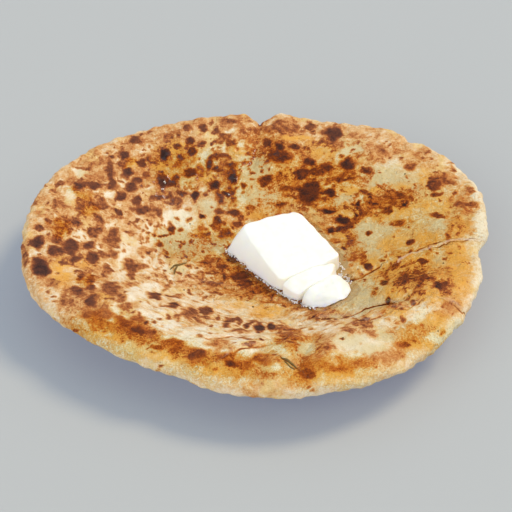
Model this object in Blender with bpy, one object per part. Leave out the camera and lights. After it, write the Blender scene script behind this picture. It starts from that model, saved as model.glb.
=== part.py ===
"""A stuffed flatbread, an aloo paratha, sagging into a shallow dish shape, with a bar of butter on it.

The bread is one solid: a round sheet with a thick rounded rim, pleats, a notch and wrinkles. The
butter is a block and two slices cut from its near end, each a solid resting on the bread.
Metres, +Z up, +Y away from the viewer. The origin is under the middle of the object, at its base.
"""

import math

import bmesh
import bpy
import numpy as np
from mathutils import Vector, noise
from mathutils.bvhtree import BVHTree

MM = 0.001

# Bread, in millimetres
THICKNESS = 7.5
RIM_REACH = (102.3, 110.4, 110.5, 104.2, 101.6, 99.6, 103.7, 106.6, 106.7,
             105.8, 105.2, 98.4, 96.2, 98.8, 104.2, 105.0, 104.0, 103.4)  # every 20 degrees from +X
CREST_RISE = 20.5  # how far the sheet climbs from its floor to its crest
FLOOR_SHARE = 0.21  # of the reach: the flat middle that the bread rests on
LOW_POINT = (8.0, -9.0)  # the dish is deepest a little right of its middle and nearer the front
FAR_CREST_SHARE = 0.97  # where the crest lies, of the reach, at the far side
NEAR_CREST_SHARE = 0.86  # and at the near side, where the rim rolls over
NEAR_LIP_DROP = 6.5  # how far the near rim rolls down past its crest
NEAR_SPREAD = 1.4  # how far round the near side's form reaches: at 1 only its middle has all of it
RIM_WAVE = 1.1  # height of the rim's gentle waves
RIM_WAVE_COUNT = 7
LUMP_HEIGHT = 0.8  # filling under the top skin
LUMP_SPREAD = 17.0

# Places round the rim where it draws in or pushes out: angle, half width in degrees, and how far
RIM_DENTS = ((88.8, 3.4, -8.0), (46.0, 2.4, -2.6), (54.0, 4.5, 1.2), (70.0, 5.0, -1.8), (250.0, 6.0, -2.6))
RIM_PLEAT_TURN = 358.0  # the rim steps out where the right pleat overlaps
RIM_PLEAT_STEP = 2.8
RIM_PLEAT_WIDTH = 1.8
RIM_PLEAT_FADE = 10.0
RIM_DETAIL_FADE = 5  # how fast these die away from the rim inwards

# Folds of the whole sheet: start, end, height (a valley is negative) and half width
FOLDS = (
    ((40.0, -16.0), (62.0, -11.5), -1.6, 4.0),  # right pleat, its valley by the butter
    ((14.0, -48.0), (58.0, -44.0), -1.8, 4.2),  # near right valley
    ((58.0, -44.0), (92.0, -55.0), -1.8, 4.0),
    ((62.0, -33.0), (90.0, -36.0), 1.4, 7.0),  # the swell between the two
    ((-12.0, -84.0), (6.0, -69.0), 1.4, 4.0),  # near wrinkles that run up to the rim
    ((8.0, -92.0), (17.0, -70.0), 1.5, 4.0),
    ((17.0, -92.0), (24.0, -73.0), -2.0, 4.0),
    ((27.0, -94.0), (33.0, -72.0), 1.5, 4.5),
    ((2.0, 96.0), (-1.0, 66.0), -2.2, 4.0),  # below the far notch
    ((-12.0, 96.0), (-9.0, 80.0), 0.7, 4.5),
    ((12.0, 98.0), (13.0, 82.0), 1.2, 4.5),
    ((74.0, 78.0), (64.0, 66.0), -1.4, 4.0),  # below the far right nick
    ((-62.0, -60.0), (-22.0, -58.0), -1.0, 4.5),  # a crease round the near left wall
)
# Pleats, where one flap overlaps the next: start, end, step, half width and how far the step fades
PLEATS = (((58.0, -12.5), (106.0, -2.0), 1.7, 2.8, 11.0),)

# Butter, in millimetres. Each piece's corners run from the far left one anticlockwise: its foot's,
# then its top's with their height above the bread, then how far its left, near, right and far sides
# bulge.
GAP = 0.45  # between the butter and the bread
BUTTER_ROUNDING = 0.1  # of a piece's size, taken off its edges
BUTTER_LEAN = 1.5  # at 1 the sides run straight from foot to top, and above 1 they bulge over the foot
BUTTER_PIECES = {
    "butter_block": (
        ((-14.4, 14.4), (10.2, -17.6), (38.4, -3.6), (21.2, 29.2)),
        ((-6.1, 17.0, 13.2), (10.6, -17.2, 6.8), (38.0, -4.4, 9.8), (19.4, 27.0, 13.2)),
        (0.6, -0.8, 1.1, 0.6),
    ),
    "butter_inner_slice": (
        ((11.2, -17.6), (18.7, -25.0), (33.2, -16.0), (36.2, -5.2)),
        ((11.5, -17.3, 6.6), (19.1, -24.4, 5.2), (32.6, -15.2, 7.4), (35.4, -6.3, 9.4)),
        (0.6, -0.5, 0.4, 0.8),
    ),
    "butter_end_slice": (
        ((19.0, -25.15), (27.0, -32.4), (41.2, -28.4), (39.6, -13.0)),
        ((19.45, -24.5, 5.4), (28.0, -30.2, 4.8), (38.8, -26.2, 6.2), (36.6, -12.9, 9.3)),
        (1.2, 2.2, 2.2, 0.5),
    ),
}

# Mesh density
AROUND = 128
DOWN = 37
TOP_SHARE = 0.57  # of the rings, on the top skin
EDGE_SHARE = 0.15  # of the rings, round the rim's edge
BUTTER_CUTS = 6


def ease(x):
    """From 0 to 1 with level ends."""
    x = min(max(x, 0.0), 1.0)
    return x * x * (3 - 2 * x)


def turn_between(turn, at_degrees):
    """The signed angle in degrees from a place on the rim to turn, which is in radians."""
    return (math.degrees(turn) - at_degrees + 180) % 360 - 180


def rim_reach(turn, out=1.0):
    """From the middle to the rim: a smooth closed curve through RIM_REACH, with its dents and pleat.

    For a ring inside the rim, out is its share of the reach, and the dents fade inwards.
    """
    count = len(RIM_REACH)
    place = turn / math.tau * count % count
    first = int(place)
    part = place - first
    before, here, there, after = (RIM_REACH[(first + k) % count] for k in (-1, 0, 1, 2))
    reach = here + 0.5 * part * (
        there - before
        + part * (2 * before - 5 * here + 4 * there - after + part * (3 * (here - there) + after - before))
    )
    off = turn_between(turn, RIM_PLEAT_TURN)
    detail = RIM_PLEAT_STEP * math.tanh(off / RIM_PLEAT_WIDTH) * math.exp(-((off / RIM_PLEAT_FADE) ** 2))
    for at, width, depth in RIM_DENTS:
        detail += depth * math.exp(-((turn_between(turn, at) / width) ** 2))
    return reach + detail * out**RIM_DETAIL_FADE


def plan_place(out, turn):
    """Where a share of the reach lies in plan. The rings slide towards the dish's low point."""
    reach = rim_reach(turn, out) * out
    slide = (1 - out) ** 2
    return (
        reach * math.cos(turn) + LOW_POINT[0] * slide,
        reach * math.sin(turn) + LOW_POINT[1] * slide,
    )


def from_line(x, y, start, end):
    """How far along a line a place lies, how far past its ends, and how far to its left."""
    along = Vector(end) - Vector(start)
    length = along.length
    along /= length
    off = Vector((x, y)) - Vector(start)
    part = off.dot(along)
    past = max(-part, part - length, 0.0)
    return part / length, past, along.x * off.y - along.y * off.x


def fold_height(x, y):
    """The height that folds and pleats add at a place. A fold is a soft ridge or valley round a line."""
    total = 0.0
    for start, end, height, width in FOLDS:
        _, past, left = from_line(x, y, start, end)
        total += height * math.exp(-(left**2 + past**2) / width**2)
    for start, end, step, width, fade in PLEATS:
        part, past, left = from_line(x, y, start, end)
        total += step * ease(2 * part) * math.tanh(left / width) * math.exp(-(left**2 + past**2) / fade**2)
    return total


def sheet_place(out, turn):
    """A point of the sheet's middle surface."""
    x, y = plan_place(out, turn)
    near = ease(-math.sin(turn) * NEAR_SPREAD)
    crest_share = FAR_CREST_SHARE + (NEAR_CREST_SHARE - FAR_CREST_SHARE) * near
    climb = ease((out - FLOOR_SHARE) / (crest_share - FLOOR_SHARE))
    past_crest = max(out - crest_share, 0.0) / (1 - crest_share)
    wave = RIM_WAVE * math.sin(RIM_WAVE_COUNT * turn + 2 * math.sin(turn)) * out**3
    z = THICKNESS / 2 + (CREST_RISE + wave) * climb - NEAR_LIP_DROP * near * past_crest**2
    return Vector((x, y, z + fold_height(x, y) * ease((out - 0.1) / 0.2)))


def sheet_frame(out, turn):
    """A point of the middle surface, the outward direction along it, and its upward normal."""
    step = 0.004
    inner = sheet_place(max(out - step, 0.0), turn)
    outer = sheet_place(min(out + step, 1.0), turn)
    outward = (outer - inner).normalized()
    across = (sheet_place(out, turn + step) - sheet_place(out, turn - step)).normalized()
    return sheet_place(out, turn), outward, outward.cross(across).normalized()


def bread_point(turn, fall):
    """A point of the bread's skin. fall runs from 0 at the top's middle, over the rim, to 1 below."""
    half = THICKNESS / 2
    edge_out = 1 - half / rim_reach(turn)
    if fall < TOP_SHARE:
        out, rise, past = edge_out * fall / TOP_SHARE, 1.0, 0.0
    elif fall < TOP_SHARE + EDGE_SHARE:
        bend = math.pi * (fall - TOP_SHARE) / EDGE_SHARE
        out, rise, past = edge_out, math.cos(bend), math.sin(bend)
    else:
        out, rise, past = edge_out * (1 - fall) / (1 - TOP_SHARE - EDGE_SHARE), -1.0, 0.0
    if out < 1e-6:
        middle, outward, up = sheet_place(0.0, 0.0), Vector((1, 0, 0)), Vector((0, 0, 1))
    else:
        middle, outward, up = sheet_frame(out, turn)
    point = middle + half * (outward * past + up * rise)
    if rise > 0:
        spot = Vector((point.x, point.y, 0)) / LUMP_SPREAD
        lumps = noise.noise(spot) + 0.5 * noise.noise(spot * 2.3 + Vector((7, 3, 1)))
        point += up * LUMP_HEIGHT * lumps * rise
    point.z = max(point.z, 0.0)
    return point * MM


def material(name, colour, roughness):
    """A Principled BSDF of one colour."""
    made = bpy.data.materials.new(name)
    made.use_nodes = True
    shader = made.node_tree.nodes["Principled BSDF"]
    shader.inputs["Base Color"].default_value = (*colour, 1.0)
    shader.inputs["Roughness"].default_value = roughness
    shader.inputs["Metallic"].default_value = 0.0
    return made


def named_object(name, bm, finish, collection):
    """An object from a bmesh, shaded smooth, with its material."""
    mesh = bpy.data.meshes.new(name)
    bm.to_mesh(mesh)
    bm.free()
    mesh.shade_smooth()
    mesh.materials.append(finish)
    made = bpy.data.objects.new(name, mesh)
    collection.objects.link(made)
    return made


def make_bread(finish, collection):
    """The bread: a sphere whose rings are laid over the sheet's section, from top to underside."""
    bm = bmesh.new()
    bmesh.ops.create_uvsphere(bm, u_segments=AROUND, v_segments=DOWN, radius=1.0)
    for vertex in bm.verts:
        fall = math.acos(max(-1.0, min(1.0, vertex.co.z))) / math.pi
        vertex.co = bread_point(math.atan2(vertex.co.y, vertex.co.x), fall)
    return named_object("paratha", bm, finish, collection)


def between(corners, along, across, bulges):
    """A place inside four corners. along runs from the first corner to the second, across to the fourth."""
    a, b, c, d = (Vector(corner[:2]) for corner in corners)
    place = a.lerp(b, along).lerp(d.lerp(c, along), across)
    to_left = Vector((b.y - a.y, a.x - b.x)).normalized()
    to_near = Vector((d.y - a.y, a.x - d.x)).normalized()
    left, near, right, far = bulges
    place += to_left * (1 - (2 * along - 1) ** 2) * (left * (1 - across) - right * across)
    place += to_near * (1 - (2 * across - 1) ** 2) * (near * along - far * (1 - along))
    return place


def butter_height(top, along, across):
    """A butter piece's height above the bread: it climbs fast from the thin, melted left side."""
    heights = [corner[2] for corner in top]
    left = heights[0] + (heights[1] - heights[0]) * along
    right = heights[3] + (heights[2] - heights[3]) * along
    return left + (right - left) * (1 - (1 - across) ** 2)


def make_butter(name, bread, finish, collection):
    """A piece of butter: a rounded cube between a foot that follows the bread and a top that sags."""
    foot, top, bulges = BUTTER_PIECES[name]
    bm = bmesh.new()
    bmesh.ops.create_cube(bm, size=1.0)
    bmesh.ops.bevel(
        bm, geom=bm.edges[:], offset=BUTTER_ROUNDING, offset_type="OFFSET", affect="EDGES",
        segments=2, profile=0.5, material=-1,
    )
    bmesh.ops.subdivide_edges(
        bm, edges=[e for e in bm.edges if e.calc_length() > 0.5], cuts=BUTTER_CUTS, use_grid_fill=True,
    )
    tree = BVHTree.FromObject(bread, bpy.context.evaluated_depsgraph_get())
    for vertex in bm.verts:
        across, along, up = vertex.co.x + 0.5, 0.5 - vertex.co.y, vertex.co.z + 0.5
        lean = up**BUTTER_LEAN
        place = between(foot, along, across, bulges).lerp(between(top, along, across, bulges), lean) * MM
        floor = tree.ray_cast(Vector((*place, 0.1)), Vector((0, 0, -1)))[0].z
        rise = GAP + (butter_height(top, along, across) - GAP) * up
        vertex.co = (*place, floor + rise * MM)
    bmesh.ops.recalc_face_normals(bm, faces=bm.faces[:])
    return named_object(name, bm, finish, collection)


def centre_on_origin(objects):
    """Slides everything so that the origin is under the middle of the whole object's box."""
    points = np.array([vertex.co for made in objects for vertex in made.data.vertices])
    middle = (points.min(axis=0) + points.max(axis=0)) / 2
    shift = Vector((-middle[0], -middle[1], -points[:, 2].min()))
    for made in objects:
        for vertex in made.data.vertices:
            vertex.co += shift


def main():
    for old in list(bpy.data.objects):
        bpy.data.objects.remove(old, do_unlink=True)
    collection = bpy.data.collections.new("aloo_paratha")
    bpy.context.scene.collection.children.link(collection)
    bread = make_bread(material("toasted_dough", (0.72, 0.46, 0.20), 0.55), collection)
    bpy.context.view_layer.update()
    butter_finish = material("butter", (0.95, 0.92, 0.80), 0.4)
    pieces = [make_butter(name, bread, butter_finish, collection) for name in BUTTER_PIECES]
    centre_on_origin([bread, *pieces])


main()
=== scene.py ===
"""The looks of an aloo paratha: a browned, dished flatbread with a sliced bar of butter melting in it.

Lengths are in millimetres until a mesh is written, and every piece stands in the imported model's
frame: +X to the right, +Y away from the viewer, +Z up, with the origin under the middle.
"""

import math

import bmesh
import bpy
import numpy as np
from mathutils import Matrix, Vector, noise
from mathutils.bvhtree import BVHTree


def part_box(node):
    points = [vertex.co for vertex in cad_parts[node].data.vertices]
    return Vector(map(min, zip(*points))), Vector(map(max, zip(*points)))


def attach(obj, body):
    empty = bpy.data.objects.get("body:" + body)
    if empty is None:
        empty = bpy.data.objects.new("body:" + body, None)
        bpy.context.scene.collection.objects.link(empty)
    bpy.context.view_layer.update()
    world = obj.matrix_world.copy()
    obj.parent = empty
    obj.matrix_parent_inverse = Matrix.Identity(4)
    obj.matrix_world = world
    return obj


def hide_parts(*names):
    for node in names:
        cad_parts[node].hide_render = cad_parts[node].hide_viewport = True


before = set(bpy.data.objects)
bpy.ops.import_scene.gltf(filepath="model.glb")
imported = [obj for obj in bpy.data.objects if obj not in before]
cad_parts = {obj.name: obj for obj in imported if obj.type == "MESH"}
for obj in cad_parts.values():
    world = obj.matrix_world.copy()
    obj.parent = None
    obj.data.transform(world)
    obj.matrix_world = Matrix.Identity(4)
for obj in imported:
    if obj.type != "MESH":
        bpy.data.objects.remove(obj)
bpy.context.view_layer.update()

MM = 0.001

# The front view: a camera aimed at the bread from 37 degrees above level
CAMERA_ELEVATION = math.radians(37)
CAMERA_DISTANCE = 850.0
CAMERA_TARGET = (0.0, -5.3, 20.0)
PIXEL = 0.45  # one step of the front view, which is 512 steps wide, at the target
FRONT_VIEW = 512
SENSOR = 36.0
BACK = np.array((0, -math.cos(CAMERA_ELEVATION), math.sin(CAMERA_ELEVATION)))  # towards the camera
OVER = np.array((0, math.sin(CAMERA_ELEVATION), math.cos(CAMERA_ELEVATION)))  # up in the front view
EYE = np.array(CAMERA_TARGET) + CAMERA_DISTANCE * BACK

# Bread, repeated from the part's source
THICKNESS = 7.5
RIM_REACH = (102.3, 110.4, 110.5, 104.2, 101.6, 99.6, 103.7, 106.6, 106.7,
             105.8, 105.2, 98.4, 96.2, 98.8, 104.2, 105.0, 104.0, 103.4)  # every 20 degrees from +X
CREST_RISE = 20.5  # how far the sheet climbs from its floor to its crest
FLOOR_SHARE = 0.21  # of the reach: the flat middle that the bread rests on
LOW_POINT = (8.0, -9.0)  # the dish is deepest a little right of its middle and nearer the front
FAR_CREST_SHARE = 0.97  # where the crest lies, of the reach, at the far side
NEAR_CREST_SHARE = 0.86  # and at the near side, where the rim rolls over
NEAR_LIP_DROP = 6.5  # how far the near rim rolls down past its crest
NEAR_SPREAD = 1.4  # how far round the near side's form reaches: at 1 only its middle has all of it
RIM_WAVE = 1.1  # height of the rim's gentle waves
RIM_WAVE_COUNT = 7
LUMP_HEIGHT = 0.8  # filling under the top skin
LUMP_SPREAD = 17.0

# Places round the rim where it draws in or pushes out: angle, half width in degrees, and how far
RIM_DENTS = (
    (88.8, 3.4, -8.0), (46.0, 2.4, -2.6), (54.0, 4.5, 1.2), (70.0, 5.0, -1.8), (250.0, 6.0, -2.6),
)
RIM_PLEAT_TURN = 358.0  # the rim steps out where the right pleat overlaps
RIM_PLEAT_STEP = 2.8
RIM_PLEAT_WIDTH = 1.8
RIM_PLEAT_FADE = 10.0
RIM_DETAIL_FADE = 5  # how fast these die away from the rim inwards

# Folds of the whole sheet: start, end, height (a valley is negative) and half width
FOLDS = (
    ((40.0, -16.0), (62.0, -11.5), -1.6, 4.0),  # right pleat, its valley by the butter
    ((14.0, -48.0), (58.0, -44.0), -1.8, 4.2),  # near right valley
    ((58.0, -44.0), (92.0, -55.0), -1.8, 4.0),
    ((62.0, -33.0), (90.0, -36.0), 1.4, 7.0),  # the swell between the two
    ((-12.0, -84.0), (6.0, -69.0), 1.4, 4.0),  # near wrinkles that run up to the rim
    ((8.0, -92.0), (17.0, -70.0), 1.5, 4.0),
    ((17.0, -92.0), (24.0, -73.0), -2.0, 4.0),
    ((27.0, -94.0), (33.0, -72.0), 1.5, 4.5),
    ((2.0, 96.0), (-1.0, 66.0), -2.2, 4.0),  # below the far notch
    ((-12.0, 96.0), (-9.0, 80.0), 0.7, 4.5),
    ((12.0, 98.0), (13.0, 82.0), 1.2, 4.5),
    ((74.0, 78.0), (64.0, 66.0), -1.4, 4.0),  # below the far right nick
    ((-62.0, -60.0), (-22.0, -58.0), -1.0, 4.5),  # a crease round the near left wall
)
# Pleats, where one flap overlaps the next: start, end, step, half width and how far the step fades
PLEATS = (((58.0, -12.5), (106.0, -2.0), 1.7, 2.8, 11.0),)

# The low relief of the crust: how wide its broad and its small lumps are, and how high they stand
CRUST_SPREADS = (7.0, 3.0)
CRUST_HEIGHTS = (0.45, 0.5)
ROUGHER_RIM = 0.3  # how much higher the small lumps stand at the rim
BLISTER_HEIGHT = 0.35
WRINKLE_HEIGHT = 0.45
# How wide the waves are by which the edges of marks wander, and how many steps of the front view the
# edges of small marks and of broad toasting wander with each
WANDER_SPREADS = (6.0, 2.4)
MARK_WANDER = (3.0, 1.8)
WASH_WANDER = (9.0, 5.0)
# How far out of its middle, in half widths, each begins to fade and is gone
MARK_FADE = (0.7, 1.9)
BLISTER_FADE = (0.25, 1.25)
SPECKLE_FADE = (0.5, 1.5)
PATCH_FADE = (0.5, 1.7)
WASH_FADE = (0.4, 1.5)
UNDERSIDE_EDGE = (0.92, 0.97)  # of the reach: where the underside's own toasting fades out
UNDERSIDE_TOAST = 0.3

# Butter, repeated from the part's source. Each piece's corners run from the far left one anticlockwise:
# its foot's, then its top's with their height above the bread, then how far its left, near, right and
# far sides bulge.
BUTTER_GAP = 0.45  # between the butter and the bread
BUTTER_LEAN = 1.5  # at 1 the sides run straight from foot to top, and above 1 they bulge over the foot
BUTTER_PIECES = {
    "butter_block": (
        ((-14.4, 14.4), (10.2, -17.6), (38.4, -3.6), (21.2, 29.2)),
        ((-6.1, 17.0, 13.2), (10.6, -17.2, 6.8), (38.0, -4.4, 9.8), (19.4, 27.0, 13.2)),
        (0.6, -0.8, 1.1, 0.6),
    ),
    "butter_inner_slice": (
        ((11.2, -17.6), (18.7, -25.0), (33.2, -16.0), (36.2, -5.2)),
        ((11.5, -17.3, 6.6), (19.1, -24.4, 5.2), (32.6, -15.2, 7.4), (35.4, -6.3, 9.4)),
        (0.6, -0.5, 0.4, 0.8),
    ),
    "butter_end_slice": (
        ((19.0, -25.15), (27.0, -32.4), (41.2, -28.4), (39.6, -13.0)),
        ((19.45, -24.5, 5.4), (28.0, -30.2, 4.8), (38.8, -26.2, 6.2), (36.6, -12.9, 9.3)),
        (1.2, 2.2, 2.2, 0.5),
    ),
}
# How each piece has softened: its edges' rounding, how far its top sags to the left, near and right
# side, and how round its corners are
BUTTER_SOFTNESS = {
    "butter_block": (0.075, (0.0, 0.0, 0.05), 0.02),
    "butter_inner_slice": (0.08, (0.25, 0.0, 0.26), 0.02),
    "butter_end_slice": (0.16, (0.3, 0.45, 0.34), 0.2),
}
BUTTER_MELT = 0.9  # how far a foot spreads where it melts
BUTTER_UNEVEN = 0.22  # how far a face is off its plain form
# How far the faces of each cut have crept together at its left and right end, or apart if under 0
FIRST_CUT_CLOSING = (0.14, 0.2)
SECOND_CUT_CLOSING = (-0.25, 0.06)
# Where, from its left to its right end, the first cut's rounded edges have closed again, and where they
# part once more
FIRST_CUT_CLOSES = (0.45, 0.75)
FIRST_CUT_OPENS = (0.83, 0.93)
# How far the butter is moved in plan, as the part's source moves it, to put the origin under the middle
PLAN_SHIFT = np.array((0.259, 1.313))

# The melted butter round the foot: its outline in plan, how deep it stands, and its mesh's sides and
# rings
MELT_OUTLINE = (
    (-16.2, 14.0), (-13.4, 8.4), (-7.0, 0.2), (-0.6, -8.6), (5.0, -15.4), (11.0, -21.6), (16.6, -27.0),
    (23.0, -33.6), (29.0, -37.4), (36.8, -36.0), (43.4, -31.6), (46.4, -24.0), (45.0, -16.2), (43.2, -8.8),
    (42.8, -2.0), (40.0, 8.0), (34.0, 19.6), (26.0, 32.0), (14.0, 31.4), (-2.0, 24.6),
)
MELT_DEPTH = 0.5
MELT_AROUND = 260
MELT_DOWN = 60
# Clusters of bubbles: across, away, and how many
BUBBLES = (
    (2.0, -7.5, 12), (9.5, -17.0, 8), (18.5, -26.5, 8), (41.5, -9.5, 10), (-13.0, 10.0, 6),
    (33.0, -34.0, 5),
)
BUBBLE_SPREAD = 3.4
BUBBLE_SIZES = (0.22, 0.7)
# Froth of soft butter along the foot: from, to, how many beads, and how far they stray
FROTH = (
    ((-14.4, 14.2), (-11.0, 9.0), 14, 0.5), ((-14.2, 13.4), (-2.6, -1.6), 34, 0.4),
    ((-1.6, -3.0), (6.6, -14.0), 40, 0.6), ((6.6, -14.6), (18.2, -26.4), 70, 0.4),
    ((18.6, -26.4), (26.0, -33.6), 30, 0.4), ((38.4, -6.4), (36.4, -12.0), 44, 0.7),
    ((39.6, -8.6), (42.4, -14.4), 24, 0.7), ((40.0, -4.0), (35.6, 6.0), 26, 0.4),
)
FROTH_SIZES = (0.18, 0.44)

# Cooked herb in the front view: slivers through several places with their width, and dark seeds: across,
# down and radius
HERB_SLIVERS = (
    (((170, 270), (174, 266), (180, 265), (187, 263)), 0.9),
    (((174, 275), (175, 270), (178, 265)), 0.8),
    (((281, 358), (288, 361), (293, 365), (297, 369)), 0.9),
    (((284, 361), (290, 367), (295, 370)), 0.7), (((303, 307), (308, 308), (312, 311)), 0.5),
)
SEEDS = (
    (253, 307, 0.5), (443.5, 263.3, 0.45), (301, 304, 0.55), (409, 296, 0.4), (405, 174, 0.4),
    (388, 300, 0.6), (343, 338, 0.4), (184, 290, 0.4), (190, 224, 0.35), (164, 235, 0.4),
    (351, 196, 0.35), (262, 168, 0.35), (438, 331, 0.35), (170, 281, 0.35), (225, 288, 0.35),
    (376, 215, 0.35),
)
HERB_THICKNESS = 0.35

# Wrinkles: how much noise fits round the bread, and how much between its middle and its rim
WRINKLE_LENGTH = 3.2
WRINKLE_CLOSENESS = 17.0

# Mesh density: sides and rings, and the rings' share on the top skin and round the rim's edge
BREAD_AROUND = 590
BREAD_DOWN = 168
TOP_SHARE = 0.73
EDGE_SHARE = 0.11
BUTTER_CUTS = 26

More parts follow.
